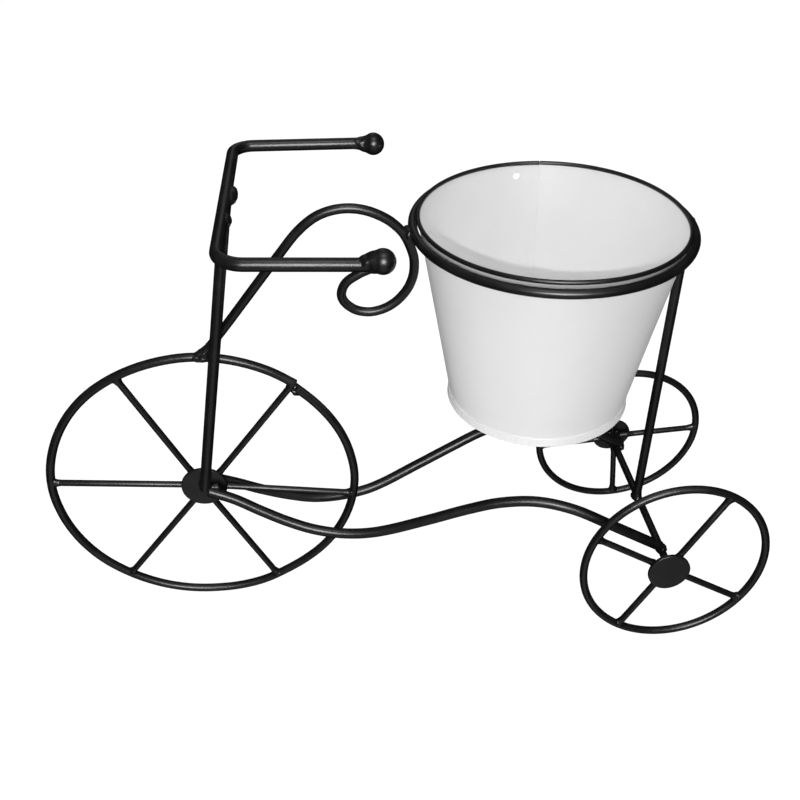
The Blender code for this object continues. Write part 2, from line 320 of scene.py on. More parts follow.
# Weld round the end of a rod: wide and lumpy at its foot, thinning up the rod.
# foot is on the middle line of what it meets, which runs along "run"
def weldCollar(bm, foot, way, run, rod, spread, girth, sink, reach, seed, lump=weld["lump"]):
    rod = rod + weld["cover"]
    across = (run - way * run.dot(way)).normalized()
    beside = way.cross(across)
    rings = []
    lean = roughness(foot, weld["leanSize"], seed) * weld["lean"]
    for k in range(fineness["collar"] + 1):
        share = k / fineness["collar"]
        left = 1 - share
        grain = across.lerp(run, left).normalized()
        long = rod / grain.dot(across) + (spread - rod) * left ** weld["footCurve"]
        wide = rod + (girth - rod) * left ** weld["girthCurve"]
        middle = foot + way * (sink + (reach - sink) * share) + grain * lean * (long - rod)
        fade = left ** weld["lumpCurve"]
        ring = []
        for i in range(fineness["rod"]):
            turn = math.tau * i / fineness["rod"]
            out = grain * math.cos(turn) * long + beside * math.sin(turn) * wide
            point = middle + out
            swell = roughness(point, weld["lumpSize"], seed) * lump * 2 * fade
            ring.append(point + out.normalized() * (swell - weld["thinning"] * share))
        rings.append(ring)
    skin(bm, rings)


# Puddle of weld: a flattened lumpy drop
def weldDrop(bm, centre, halfSizes, turn, seed, lump=weld["dropLump"]):
    made = bmesh.ops.create_icosphere(bm, subdivisions=fineness["drop"], radius=1)
    for vert in made["verts"]:
        way = vert.co.copy()
        point = Vector((way.x * halfSizes[0], way.y * halfSizes[1], way.z * halfSizes[2]))
        swell = 1 + lump * 2 * roughness(point + centre, weld["dropLumpSize"], seed)
        vert.co = centre + turn @ (point * swell)


def upright(way, grain):
    across = (grain - way * grain.dot(way)).normalized()
    return Matrix((across, way.cross(across), way)).transposed()


wheels = {
    "front": {"solid": "front_wheel", "centre": (-0.1645, 0, 0.125), "radius": 0.125,
              "rim": 0.0035, "lean": 0.0, "outward": 1, "hub": (0, 0, 0), "spokeStart": 0.007,
              "discRadius": 0.0185, "spokes": (-10, 49, 117, 175, 233, 294),
              "slips": ((-0.0023, -0.0007), (-0.0040, 0.0020), (0.0029, -0.0013),
                        (0.0023, 0.0003), (0.0026, -0.0017), (-0.0033, 0.0016))},
    "left": {"solid": "left_rear_wheel", "centre": (0.2109, -0.084, 0.07784), "radius": 0.078,
             "rim": 0.0032, "lean": 3.8, "outward": 1, "hub": (-0.0056, -0.0042, 0),
             "spokeStart": 0.00375, "discRadius": 0.0172, "spokes": (-33, 58, 149, 240),
             "slips": ((-0.0003, 0.0028), (-0.0012, 0.0008), (0.0006, 0.0006), (0.0012, 0.0002))},
    "right": {"solid": "right_rear_wheel", "centre": (0.2115, 0.084, 0.07784), "radius": 0.078,
              "rim": 0.0032, "lean": -3.8, "outward": -1, "hub": (-0.0048, -0.0018, 0),
              "spokeStart": 0.00375, "discRadius": 0.0176, "spokes": (4, 94, 184, 277),
              "slips": ((0.0020, 0.0008), (0, 0), (0, 0), (0.0018, 0.0018))},
}
# slips are how far a spoke's inner and outer end lie to the left of its true line
wheelRod = {"spoke": 0.00265, "gap": 0.0003, "cutRounding": 0.0005,
            "weldSpread": 0.0058, "weldReach": 0.0085, "weldGirth": 0.0002, "weldSink": 0.0008,
            "weldSwing": 0.3}
# shares are of the disc's radius
hubDisc = {"thickness": 0.003, "rounding": 0.0008, "burr": 0.0004, "pull": 0.00006,
           "wave": 0.00012, "waves": 3, "waveStart": 1, "backShare": 0.5, "pulledShare": 0.8,
           "flatShare": 0.45}
hubWeld = {"halfSizes": (0.0088, 0.0088, 0.0028), "depth": 0.0002, "seed": 5, "lump": 0.10}
# paint and weld gathered where a spoke goes under the disc
spokeCoat = {"spread": 0.0033, "girth": 0.0029, "sink": 0.0, "reach": 0.0060, "lump": 0.0002,
             "inside": 0.0035, "seed": 20}
# the front rim was bent by hand: its cut ends meet out of line, and it strays from a true
# circle by these amounts outwards, in equal steps round from the joint
frontRim = {
    "joint": 49, "gap": 0.30, "lowSwing": 0.0018, "weldSeed": 3,
    "strays": (0.0012, 0.0011, 0.0011, 0.0012, 0.0012, 0.0006, 0.0002, 0, 0,
               -0.0003, -0.0006, -0.0007, -0.00035, -0.0001, -0.0001, 0.0002, 0.0005, 0.0007,
               0.0004, 0.0004, 0.0005, 0.0003, 0, 0.0003, 0.0003, -0.0006, -0.0001, 0.0009, 0.0014,
               0.0016, 0.0015, 0.00135, 0.0004, -0.00025, -0.0010, -0.0015, -0.0011),
    "welds": ((47.2, -0.0040, (0.0050, 0.0034, 0.0030)), (48.6, -0.0010, (0.0030, 0.0034, 0.0036))),
}


def wheelStand(wheel):
    return (Matrix.Translation(wheel["centre"])
            @ Matrix.Rotation(math.pi / 2 - math.radians(wheel["lean"]), 4, "X"))


def onWheel(radius, degrees, out=0.0):
    angle = math.radians(degrees)
    return Vector((radius * math.cos(angle), radius * math.sin(angle), out))


# how far the rim strays outwards and to the side at an angle
def rimStray(side, degrees):
    if side != "front":
        return 0, 0
    strays = frontRim["strays"]
    place = (degrees - frontRim["joint"]) % 360 / 360 * (len(strays) - 1)
    step = min(int(place), len(strays) - 2)
    out = strays[step] + (strays[step + 1] - strays[step]) * (place - step)
    return out, frontRim["lowSwing"] * max(0, -math.sin(math.radians(degrees))) ** 2


def spokeEnds(side, wheel, number):
    hub = Vector(wheel["hub"])
    degrees = wheel["spokes"][number]
    way = onWheel(1, degrees)
    beside = onWheel(1, degrees + 90)
    innerSlip, outerSlip = wheel["slips"][number]
    reach = wheel["radius"] - 2 * wheel["rim"] - wheelRod["gap"] + rimStray(side, degrees)[0]
    across = hub.dot(way)
    run = math.sqrt(across ** 2 + reach ** 2 - hub.length_squared) - across
    start = hub + way * wheel["spokeStart"] + beside * innerSlip
    end = hub + way * run + beside * outerSlip + Vector((0, 0, rimStray(side, degrees)[1]))
    return start, end, (end - start).normalized()


def buildRim(side, wheel):
    bm = bmesh.new()
    middle = wheel["radius"] - wheel["rim"]
    count = fineness["wheel"]
    if side != "front":
        path = [onWheel(middle, 360 * k / count) for k in range(count)]
        tube(bm, path, [wheel["rim"]] * count, fineness["rod"], True)
    else:
        first = frontRim["joint"] + frontRim["gap"]
        span = 360 - 2 * frontRim["gap"]
        steps = len(frontRim["strays"]) - 1
        waypoints = []
        for k in range(steps + 1):
            degrees = first + span * k / steps
            out, swing = rimStray(side, degrees)
            waypoints.append(onWheel(middle + out, degrees, swing))
        path = smoothPath(waypoints, fineness["rimPath"])
        path, radii = cutRod(path, [wheel["rim"]] * len(path), wheelRod["cutRounding"])
        tube(bm, path, radii, fineness["rod"])
    moved(bm, wheelStand(wheel))
    addPiece(side + "WheelRim", bm, blackPaint, "frame", wheel["solid"] + "_rim")


# the punched edge isn't quite round
def discWave(angle, height):
    return hubDisc["wave"] * math.sin(hubDisc["waves"] * angle + hubDisc["waveStart"])


def buildDisc(side, wheel):
    bm = bmesh.new()
    back = wheelRod["spoke"] + wheelRod["gap"]
    front = back + hubDisc["thickness"]
    rounding = hubDisc["rounding"]
    edge = wheel["discRadius"]
    burr = hubDisc["burr"]
    outline = [(edge * hubDisc["backShare"], back), (edge - burr, back), (edge, back + burr)]
    outline += [(edge, front - rounding)]
    for k in range(1, fineness["cut"] + 1):
        turn = math.pi / 2 * k / fineness["cut"]
        outline.append((edge - rounding * (1 - math.cos(turn)),
                        front - rounding * (1 - math.sin(turn))))
    # the punch has pulled the face down a little towards its edge
    outline += [(edge * hubDisc["pulledShare"], front - hubDisc["pull"]),
                (edge * hubDisc["flatShare"], front)]
    turned(bm, outline, evenColumns(fineness["disc"]), False, discWave)
    flip = Matrix.Scale(wheel["outward"], 4, (0, 0, 1))
    moved(bm, wheelStand(wheel) @ Matrix.Translation(wheel["hub"]) @ flip)
    addPiece(side + "HubDisc", bm, blackPaint, "frame", wheel["solid"] + "_hub_disc")


def buildSpokes(side, wheel):
    for number in range(len(wheel["spokes"])):
        bm = bmesh.new()
        start, end, way = spokeEnds(side, wheel, number)
        straightRod(bm, start, end, wheelRod["spoke"], fineness["spoke"],
                    wheelRod["cutRounding"])
        moved(bm, wheelStand(wheel))
        addPiece(f"{side}Spoke{number + 1}", bm, blackPaint, "frame",
                 f"{wheel['solid']}_spoke_{number + 1}")


def buildWheelWelds(side, wheel):
    bm = bmesh.new()
    outward = wheel["outward"]
    upwards = Vector((0, 0, outward))
    hub = Vector(wheel["hub"])
    middle = wheel["radius"] - wheel["rim"]
    for number in range(len(wheel["spokes"])):
        start, end, way = spokeEnds(side, wheel, number)
        foot = end + way * (wheel["rim"] + wheelRod["gap"])
        tangent = Vector((-foot.y, foot.x, 0)).normalized()
        swing = 1 + wheelRod["weldSwing"] * roughness(foot, weld["leanSize"], number)
        weldCollar(bm, foot, -way, tangent, wheelRod["spoke"], wheelRod["weldSpread"] * swing,
                   wheel["rim"] + wheelRod["weldGirth"], wheelRod["weldSink"],
                   wheelRod["weldReach"] * swing, number)
        edge = start + way * (wheel["discRadius"] - wheel["spokeStart"] - spokeCoat["inside"])
        weldCollar(bm, edge, way, Vector((-way.y, way.x, 0)), wheelRod["spoke"],
                   spokeCoat["spread"], spokeCoat["girth"], spokeCoat["sink"],
                   spokeCoat["reach"], spokeCoat["seed"] + number, spokeCoat["lump"])
    weldDrop(bm, hub - upwards * hubWeld["depth"], hubWeld["halfSizes"], Matrix.Identity(3),
             hubWeld["seed"], hubWeld["lump"])
    if side == "front":
        for angle, out, halfSizes in frontRim["welds"]:
            spot = onWheel(middle + out, angle)
            tangent = Vector((-spot.y, spot.x, 0)).normalized()
            weldDrop(bm, spot, halfSizes, upright(Vector((0, 0, 1)), tangent),
                     frontRim["weldSeed"])
    moved(bm, wheelStand(wheel))
    addPiece(side + "WheelWelds", bm, weldPaint, "frame")


for side, wheel in wheels.items():
    buildRim(side, wheel)
    buildDisc(side, wheel)
    buildSpokes(side, wheel)
    buildWheelWelds(side, wheel)
print("wheels built")


axle = {"x": 0.2065, "height": 0.07485, "radius": 0.00315, "reach": 0.08663}
post = {"foot": (-0.1637, -0.0105, 0.1265), "crossing": (0.00805, 0.265), "radius": 0.00425,
        "topGap": 0.00465}
rearPost = {"x": 0.2045, "footShift": 0.0004, "topShift": 0.0012, "foot": 0.0783, "top": 0.3396,
            "radius": 0.00375, "footDepth": 0.0034, "headRise": 0.0026}
frameRod = {
    "radius": 0.0043, "rounding": 0.0009, "starts": (0.01055, 0.00725), "endSide": 0.067,
    "leftStart": (-0.0040, 0, -0.0006),  # the left rod starts further forward
    "landings": ((0.0064, -20), (0.00775, 28)),
    "route": ((0.020, 0.985, 0.00), (0.065, 0.915, 0.05), (0.120, 0.820, 0.11),
              (0.180, 0.730, 0.17), (0.240, 0.664, 0.23), (0.310, 0.642, 0.30),
              (0.380, 0.675, 0.37), (0.485, 0.800, 0.48), (0.570, 0.903, 0.57),
              (0.640, 0.980, 0.66), (0.715, 1.016, 0.77), (0.790, 0.978, 0.90),
              (0.870, 0.877, 1.00)),
    # how much higher each rod really lies at those points
    "lifts": ((0.0019, 0.0018, 0.0022, 0.0020, 0.0023, 0.0021, 0.0018, 0.0011, 0.0016, 0.0014,
               0.0008, 0.0014, 0.0001),
              (0, -0.0005, -0.0010, -0.0011, -0.0011, -0.0010, -0.0016, -0.0009, 0, 0, 0, 0, 0)),
}
frontHub = Vector(wheels["front"]["centre"])
barHeight = 0.373
barMiddle = Vector((-0.1205, 0, barHeight))

bm = bmesh.new()
axleEnds = [Vector((axle["x"], side * axle["reach"], axle["height"])) for side in (-1, 1)]
straightRod(bm, axleEnds[0], axleEnds[1], axle["radius"], fineness["rod"])
addPiece("rearAxle", bm, blackPaint, "frame", "rear_axle")

postFoot = Vector(post["foot"])
crossingSide, crossingHeight = post["crossing"]
slope = (-postFoot.y - crossingSide) / (crossingHeight - postFoot.z)
barAxis = Vector((barMiddle.x, postFoot.y + slope * (barHeight - postFoot.z), barHeight))
postWay = (barAxis - postFoot).normalized()
postTop = barAxis - postWay * post["topGap"]
bm = bmesh.new()
straightRod(bm, postFoot, postTop, post["radius"], fineness["rod"])
addPiece("frontPost", bm, blackPaint, "frame", "front_post")

bm = bmesh.new()
rearPostFoot = Vector((rearPost["x"] + rearPost["footShift"], 0, rearPost["foot"]))
rearPostTop = Vector((rearPost["x"] + rearPost["topShift"], 0, rearPost["top"]))
straightRod(bm, rearPostFoot, rearPostTop, rearPost["radius"], fineness["rod"])
addPiece("rearPost", bm, blackPaint, "frame", "rear_post")

rodPaths = {}
for name, side, startSide, landing, lifts in zip(("left", "right"), (-1, 1), frameRod["starts"],
                                                 frameRod["landings"], frameRod["lifts"]):
    waypoints = []
    for (along, up, out), lift in zip(frameRod["route"], lifts):
        waypoints.append(Vector((frontHub.x + along * (axle["x"] - frontHub.x),
                                 side * (startSide + out * (frameRod["endSide"] - startSide)),
                                 up * frontHub.z + lift)))
    angle = math.radians(landing[1])
    waypoints.append(Vector((axle["x"] + landing[0] * math.sin(angle), side * frameRod["endSide"],
                             axle["height"] + landing[0] * math.cos(angle))))
    if name == "left":
        waypoints[0] = waypoints[0] + Vector(frameRod["leftStart"])
    rodPaths[name] = smoothPath(waypoints)
    path, radii = cutRod(rodPaths[name], [frameRod["radius"]] * len(rodPaths[name]),
                         frameRod["rounding"])
    bm = bmesh.new()
    tube(bm, path, radii, fineness["rod"])
    addPiece(name + "FrameRod", bm, blackPaint, "frame", name + "_frame_rod")

# welds at the front hub: how far each lies from the rod's end, its half sizes and its seed
hubWelds = {
    "post": {"offset": (-0.0006, 0.0030, 0.0016), "halfSizes": (0.0044, 0.0050, 0.0024),
             "seed": 1, "lump": 0.12},
    "left": {"offset": (0.0050, 0.0014, 0.0020), "halfSizes": (0.0060, 0.0036, 0.0032),
             "seed": 2, "lump": 0.14},
    "right": {"offset": (0.0005, -0.0020, 0), "halfSizes": (0.0070, 0.0060, 0.0040),
              "seed": 4, "lump": 0.12},
}
bm = bmesh.new()
lookOut = Matrix.Rotation(math.pi / 2, 3, "X")
for name, drop in hubWelds.items():
    rodEnd = postFoot if name == "post" else rodPaths[name][0]
    weldDrop(bm, rodEnd + Vector(drop["offset"]), drop["halfSizes"], lookOut, drop["seed"],
             drop["lump"])
addPiece("frontHubWelds", bm, weldPaint, "frame")

# welds on the axle, and at the rear post's foot and head
rodWeld = {"halfSizes": (0.0048, 0.0050, 0.0040), "towardsAxle": 0.42, "turn": -0.6,
           "seed": 6, "collarSeed": 8}
axleCollar = {"spread": 0.0046, "girth": 0.0043, "sink": -0.0006, "reach": 0.0070}
postFootCollar = {"spread": 0.0072, "girth": 0.0047, "sink": 0.0004, "reach": 0.0095, "seed": 12}
postHeadCollar = {"spread": 0.0070, "girth": 0.0040, "sink": 0.0006, "reach": 0.0095, "seed": 23}
bm = bmesh.new()
along = Vector((0, 1, 0))
upwards = Vector((0, 0, 1))
for number, name in enumerate(("left", "right"), 1):
    end = rodPaths[name][-1]
    axleSpot = Vector((axle["x"], end.y, axle["height"]))
    weldDrop(bm, end.lerp(axleSpot, rodWeld["towardsAxle"]), rodWeld["halfSizes"],
             Matrix.Rotation(rodWeld["turn"], 3, "Y"), rodWeld["seed"] + number)
    outwards = along * (-1 if name == "left" else 1)
    weldCollar(bm, axleEnds[number - 1], -outwards, upwards, axle["radius"],
               seed=rodWeld["collarSeed"] + number, **axleCollar)
weldCollar(bm, rearPostFoot - upwards * rearPost["footDepth"], upwards, along,
           rearPost["radius"], **postFootCollar)
addPiece("axleWelds", bm, weldPaint, "frame")
print("axle, posts and frame rods built")


bar = {"radius": 0.00435, "rounding": 0.0006, "width": 0.1934, "bends": (0.0170, 0.0150),
       "turn": -1.3, "tilt": -0.8,
       "cornerShifts": (0.0003, -0.0008), "reaches": (0.0915, 0.0957),
       "drops": (0.0041, 0.0008), "lifts": (0.0022, -0.0007),
       "lumpDepth": 0.0006, "lumpSeed": 16, "lumpSwell": 0.07,
       "lumps": ((0.0038, 0.0060, (0.0040, 0.0125, 0.0044)),
                 (0.0030, -0.0345, (0.0034, 0.0080, 0.0042)))}
barCollar = {"spread": 0.0066, "girth": 0.0044, "sink": 0.0010, "reach": 0.0085, "seed": 14}
knob = {"radii": (0.0081, 0.0084), "centre": 0.0087, "flareStart": -0.0168, "flareEnd": -0.0036,
        "flareCurve": 1.8, "flareSink": 0.0001, "poleGap": 0.03, "ripple": 0.00042,
        "rippleSize": 0.0034, "rippleSeed": 9, "rippleLead": 2, "crease": 60}
# weld that fills the corner under the left arm
chin = {"back": 0.0046, "down": 0.0040, "halfSizes": (0.0062, 0.0046, 0.0037), "seed": 26,
        "lump": 0.05}
barStand = (Matrix.Rotation(math.radians(bar["turn"]), 3, "Z")
            @ Matrix.Rotation(math.radians(bar["tilt"]), 3, "X"))


def barPoint(side, reach, drop):
    offset = barStand @ Vector((reach, side * bar["width"] / 2, 0))
    return barMiddle + offset - Vector((0, 0, drop))


def roundedCorner(before, corner, after, bend):
    wayIn = (corner - before).normalized()
    wayOut = (after - corner).normalized()
    half = wayIn.angle(wayOut) / 2
    centre = corner + (wayOut - wayIn).normalized() * bend / math.cos(half)
    start = corner - wayIn * bend * math.tan(half) - centre
    axis = wayIn.cross(wayOut)
    turns = [2 * half * i / fineness["bend"] for i in range(fineness["bend"] + 1)]
    return [centre + Matrix.Rotation(turn, 3, axis) @ start for turn in turns]


corners = [barPoint(side, shift, 0) for side, shift in zip((-1, 1), bar["cornerShifts"])]
armEnds = [barPoint(side, bar["reaches"][i], bar["drops"][i]) for i, side in enumerate((-1, 1))]
armWays = [(end - corner).normalized() for end, corner in zip(armEnds, corners)]
barPath = [armEnds[0]]
barPath += roundedCorner(armEnds[0], corners[0], corners[1], bar["bends"][0])
barPath += roundedCorner(corners[0], corners[1], armEnds[1], bar["bends"][1])
barPath.append(armEnds[1])
bm = bmesh.new()
path, radii = cutRod(barPath, [bar["radius"]] * len(barPath), bar["rounding"])
tube(bm, path, radii, fineness["rod"])
addPiece("handlebar", bm, blackPaint, "frame", "handlebar")

# balls on the arms' ends, each with the weld drawn out into a flare between arm and ball
for name, end, way, lift, radius in zip(("left", "right"), armEnds, armWays, bar["lifts"],
                                        knob["radii"]):
    rise = Vector((0, 0, lift))
    ball = end + way * knob["centre"] + rise
    start, stop = knob["flareStart"], knob["flareEnd"]
    stopRadius = math.sqrt(radius ** 2 - stop ** 2)
    path, radii = [], []
    for k in range(fineness["flare"] + 1):
        share = k / fineness["flare"]
        eased = share * share * (3 - 2 * share)
        path.append(ball - rise * (1 - eased) + way * (start + (stop - start) * share))
        radii.append(bar["radius"] - knob["flareSink"] + (stopRadius - bar["radius"])
                     * share ** knob["flareCurve"])
    turnStart = math.acos(-stop / radius)
    for k in range(1, fineness["ball"] + 1):
        turn = turnStart + (math.pi - knob["poleGap"] - turnStart) * k / fineness["ball"]
        path.append(ball - way * radius * math.cos(turn))
        radii.append(radius * math.sin(turn))
    bm = bmesh.new()
    rows = tube(bm, path, radii, fineness["ballSides"])
    lead = knob["rippleLead"]
    for number, row in enumerate(rows[:fineness["flare"] + 1]):
        fade = math.sin(math.pi * min(1, (number + lead) / (fineness["flare"] + lead)))
        for vert in row:
            out = (vert.co - path[number]).normalized()
            swell = roughness(vert.co, knob["rippleSize"], knob["rippleSeed"])
            vert.co += out * swell * knob["ripple"] * 2 * fade
    if lift > 0:
        weldDrop(bm, ball - way * chin["back"] + Vector((0, 0, -chin["down"])),
                 chin["halfSizes"], upright(upwards, way), chin["seed"], chin["lump"])
    addPiece(name + "GripBall", bm, blackPaint, "frame", name + "_grip_ball", knob["crease"])

bm = bmesh.new()
weldCollar(bm, barAxis, -postWay, along, post["radius"], **barCollar)
for number, (ahead, beside, halfSizes) in enumerate(bar["lumps"]):
    spot = barMiddle + barStand @ Vector((ahead, beside, -bar["lumpDepth"]))
    weldDrop(bm, spot, halfSizes, barStand, bar["lumpSeed"] + number, bar["lumpSwell"])
addPiece("handlebarWelds", bm, weldPaint, "frame")
print("handlebar built")


# the ring's bar is a little thinner than its solid, and the ring hangs lower at the near rear
ring = {"x": 0.1055, "height": 0.3434, "radius": 0.099, "rod": 0.0035,
        "barRadius": 0.0033, "sink": 0.0002, "dip": 0.0006, "dipAngle": -40}
scroll = {
    "radius": 0.0035, "rounding": 0.0008, "start": 0.0905, "seatAngle": 31, "seatGap": 0.0003,
    "rise": ((0.1915, 0.243), (0.2684, 0.425), (0.3440, 0.605), (0.4472, 0.848),
             (0.5225, 1.018), (0.592, 1.127), (0.655, 1.178), (0.722, 1.196), (0.788, 1.182),
             (0.852, 1.138), (0.912, 1.067)),
    "curl": ((0.999, 0.797), (1.005, 0.686), (0.996, 0.581), (0.970, 0.478), (0.924, 0.384),
             (0.869, 0.326), (0.805, 0.307), (0.741, 0.345), (0.696, 0.450), (0.711, 0.566),
             (0.768, 0.645), (0.829, 0.694)),
}
ringFront = Vector((ring["x"] - ring["radius"], 0, ring["height"]))
rimTop = wheels["front"]["radius"] * 2


def scrollPoint(along, up):
    return Vector((frontHub.x + along * (ringFront.x - frontHub.x), 0,
                   rimTop + up * (ring["height"] - rimTop)))


scrollStart = scrollPoint(scroll["start"], 0)
firstWay = (scrollPoint(*scroll["rise"][0]) - scrollStart).normalized()
restingEdge = scrollStart.x + scroll["radius"] * firstWay.z - frontHub.x
scrollStart.z = (frontHub.z + math.sqrt(wheels["front"]["radius"] ** 2 - restingEdge ** 2)
                 + scroll["radius"] * firstWay.x + scroll["seatGap"])
seatAngle = math.radians(scroll["seatAngle"])
seatWay = Vector((math.cos(seatAngle), 0, math.sin(seatAngle)))
ringSeat = ringFront - seatWay * (ring["rod"] + scroll["radius"] + scroll["seatGap"])
waypoints = [scrollStart] + [scrollPoint(*share) for share in scroll["rise"]] + [ringSeat]
waypoints += [scrollPoint(*share) for share in scroll["curl"]]
scrollPath = smoothPath(waypoints)
bm = bmesh.new()
path, radii = cutRod(scrollPath, [scroll["radius"]] * len(scrollPath), scroll["rounding"])
tube(bm, path, radii, fineness["rod"])
addPiece("scrollBrace", bm, blackPaint, "frame", "scroll_brace")

bm = bmesh.new()
path = []
for k in range(fineness["pot"]):
    angle = math.tau * k / fineness["pot"]
    dip = ring["dip"] * (1 + math.cos(angle - math.radians(ring["dipAngle"])))
    path.append(Vector((ring["x"] + ring["radius"] * math.cos(angle),
                        ring["radius"] * math.sin(angle), ring["height"] - ring["sink"] - dip)))
tube(bm, path, [ring["barRadius"]] * len(path), fineness["rod"], True)
addPiece("potRing", bm, blackPaint, "frame", "pot_ring")

scrollCollar = {"spread": 0.0090, "girth": 0.0040, "sink": -0.0004, "reach": 0.0105, "seed": 21}
# the long lug of weld on the front rim, the ridge on its side and the weld at the ring
scrollWelds = {"depth": 0.0032, "rimSlope": -0.1,
               "lug": {"offset": (-0.0046, -0.0003, -0.0040),
                       "halfSizes": (0.0086, 0.0038, 0.0040), "seed": 24, "lump": 0.06},
               "ridge": {"offset": (-0.0020, -0.0036, -0.0008),
                         "halfSizes": (0.0046, 0.0013, 0.0012), "seed": 25, "lump": 0.15},
               "ridgeTurn": -0.8, "ringHalfSizes": (0.0040, 0.0068, 0.0046), "ringSeed": 22}
bm = bmesh.new()
rimTangent = Vector((1, 0, scrollWelds["rimSlope"])).normalized()
weldCollar(bm, scrollStart - firstWay * scrollWelds["depth"], firstWay, rimTangent,
           scroll["radius"], **scrollCollar)
for name, turn in (("lug", upright(-along, rimTangent)),
                   ("ridge", Matrix.Rotation(scrollWelds["ridgeTurn"], 3, "Y"))):
    drop = scrollWelds[name]
    weldDrop(bm, scrollStart + Vector(drop["offset"]), drop["halfSizes"], turn, drop["seed"],
             drop["lump"])
weldDrop(bm, ringSeat.lerp(ringFront, 0.5), scrollWelds["ringHalfSizes"],
         Matrix.Rotation(-seatAngle, 3, "Y"), scrollWelds["ringSeed"])
weldCollar(bm, rearPostTop + upwards * rearPost["headRise"], -upwards, along,
           rearPost["radius"], **postHeadCollar)
addPiece("scrollAndRingWelds", bm, weldPaint, "frame")
print("scroll and ring built")


pot = {"floor": 0.2032, "footRadius": 0.0692, "taper": 0.18188, "sheet": 0.001, "top": 0.3482,
       "seam": 83.4, "seamGap": 0.05, "seamStep": 0.00032, "seamFade": 16.0, "seamCurve": 1.5,
       "holeHeight": 0.3393, "holeAngle": 94.3, "holeRadius": 0.00275, "holeOverrun": 0.01,
       "crease": 30, "lean": 0.0002, "dipCurve": 4,
       "dips": (0.0003, 0.0004, 0.0005, 0.0007, 0.0015, 0.0021, 0.0019, 0.0011, 0.0005, 0.0003,
                0.0003, 0.0003)}
potPlace = Matrix.Translation((ring["x"], 0, 0))


def wallRadius(height):
    return pot["footRadius"] + pot["taper"] * (height - pot["floor"])


# the pot sits a little askew: its mouth leans to the back and dips there. The dips are taken
# in equal steps from the front round by the near side
def mouthShift(angle):
    dips = pot["dips"]
    place = (math.degrees(angle) + 180) % 360 / (360 / len(dips))
    step = int(place)
    first, second = dips[step % len(dips)], dips[(step + 1) % len(dips)]
    return Vector((pot["lean"], 0, -first - (second - first) * (place - step)))


def leaned(bm):
    for vert in bm.verts:
        share = max(0, (vert.co.z - pot["floor"]) / (pot["top"] - pot["floor"]))
        shift = mouthShift(math.atan2(vert.co.y, vert.co.x))
        vert.co += Vector((shift.x * share, 0, shift.z * share ** pot["dipCurve"]))


# the sheet's two edges lap at the seam, so it stands a little proud on one side of it
def seamDrift(angle, height):
    beyond = (math.degrees(angle) - pot["seam"] + 180) % 360 - 180
    fade = max(0, 1 - abs(beyond) / pot["seamFade"])
    return pot["seamStep"] * fade ** pot["seamCurve"] * (1 if beyond > 0 else -1)


columns = [math.radians(pot["seam"] + pot["seamGap"])]
count = fineness["pot"]
columns += [math.radians(pot["seam"] + 360 * k / count) for k in range(1, count)]
columns += [math.radians(pot["seam"] + 360 - pot["seamGap"])]
heights = [pot["floor"] + (pot["top"] - pot["floor"]) * k / fineness["wall"]
           for k in range(fineness["wall"] + 1)]
outline = [(wallRadius(height), height) for height in heights]
outline += [(wallRadius(height) - pot["sheet"], height) for height in heights[::-1]]
bm = bmesh.new()
turned(bm, outline, columns, True, seamDrift)
leaned(bm)
moved(bm, potPlace)
wall = addPiece("potWall", bm, whitePaint, "pot", "pot_wall", pot["crease"])

# one rod across the pot cuts both ear holes
holeAngle = math.radians(pot["holeAngle"])
holeWay = Vector((math.cos(holeAngle), math.sin(holeAngle), 0))
cutBm = bmesh.new()
reach = wallRadius(pot["holeHeight"]) + pot["holeOverrun"]
holeMiddle = Vector((ring["x"], 0, pot["holeHeight"]))
tube(cutBm, [holeMiddle - holeWay * reach, holeMiddle + holeWay * reach],
     [pot["holeRadius"]] * 2, fineness["hole"])
bmesh.ops.recalc_face_normals(cutBm, faces=cutBm.faces)
cutMesh = bpy.data.meshes.new("holeCut")
cutBm.to_mesh(cutMesh)
cutBm.free()
cutter = bpy.data.objects.new("holeCut", cutMesh)
bpy.context.scene.collection.objects.link(cutter)
cut = wall.modifiers.new("holes", "BOOLEAN")
cut.operation = "DIFFERENCE"
cut.solver = "EXACT"
cut.object = cutter
evaluated = wall.evaluated_get(bpy.context.evaluated_depsgraph_get())
holed = bpy.data.meshes.new_from_object(evaluated)
wall.modifiers.clear()
wall.data = holed
bpy.data.objects.remove(cutter)

bm = bmesh.new()
bead = {"height": 0.3492, "radius": 0.0016, "rounding": 0.0003, "middle": 0.0955, "split": 83.4,
        "gap": 0.13}
path = []
span = 360 - 2 * bead["gap"]
for k in range(count + 1):
    angle = math.radians(bead["split"] + bead["gap"] + span * k / count)
    path.append(Vector((bead["middle"] * math.cos(angle), bead["middle"] * math.sin(angle),
                        bead["height"])) + mouthShift(angle))
path, radii = cutRod(path, [bead["radius"]] * len(path), bead["rounding"])
tube(bm, path, radii, fineness["bead"])
moved(bm, potPlace)
addPiece("potRimBead", bm, blackPaint, "pot", "pot_rim_bead")

# shares of the floor's radius: its middle is pressed down a little inside a flat border
floorLook = {"radius": 0.0679, "low": 0.2032, "thickness": 0.001, "press": 0.0006,
             "rounding": 0.0003, "middle": 0.4, "bend": 0.82, "pressed": 0.86, "border": 0.90}
bm = bmesh.new()
low = floorLook["low"]
high = low + floorLook["thickness"]
edge = floorLook["radius"]
corner = floorLook["rounding"]
pressed = high - floorLook["press"] / 2
outline = [(edge * floorLook["middle"], low), (edge * floorLook["bend"], low),
           (edge - corner, low), (edge, low + corner), (edge, high - corner),
           (edge - corner, high), (edge * floorLook["border"], high),
           (edge * floorLook["pressed"], pressed), (edge * floorLook["middle"], pressed)]
turned(bm, outline, evenColumns(fineness["floor"]))
moved(bm, potPlace)
addPiece("potFloor", bm, whitePaint, "pot", "pot_floor")

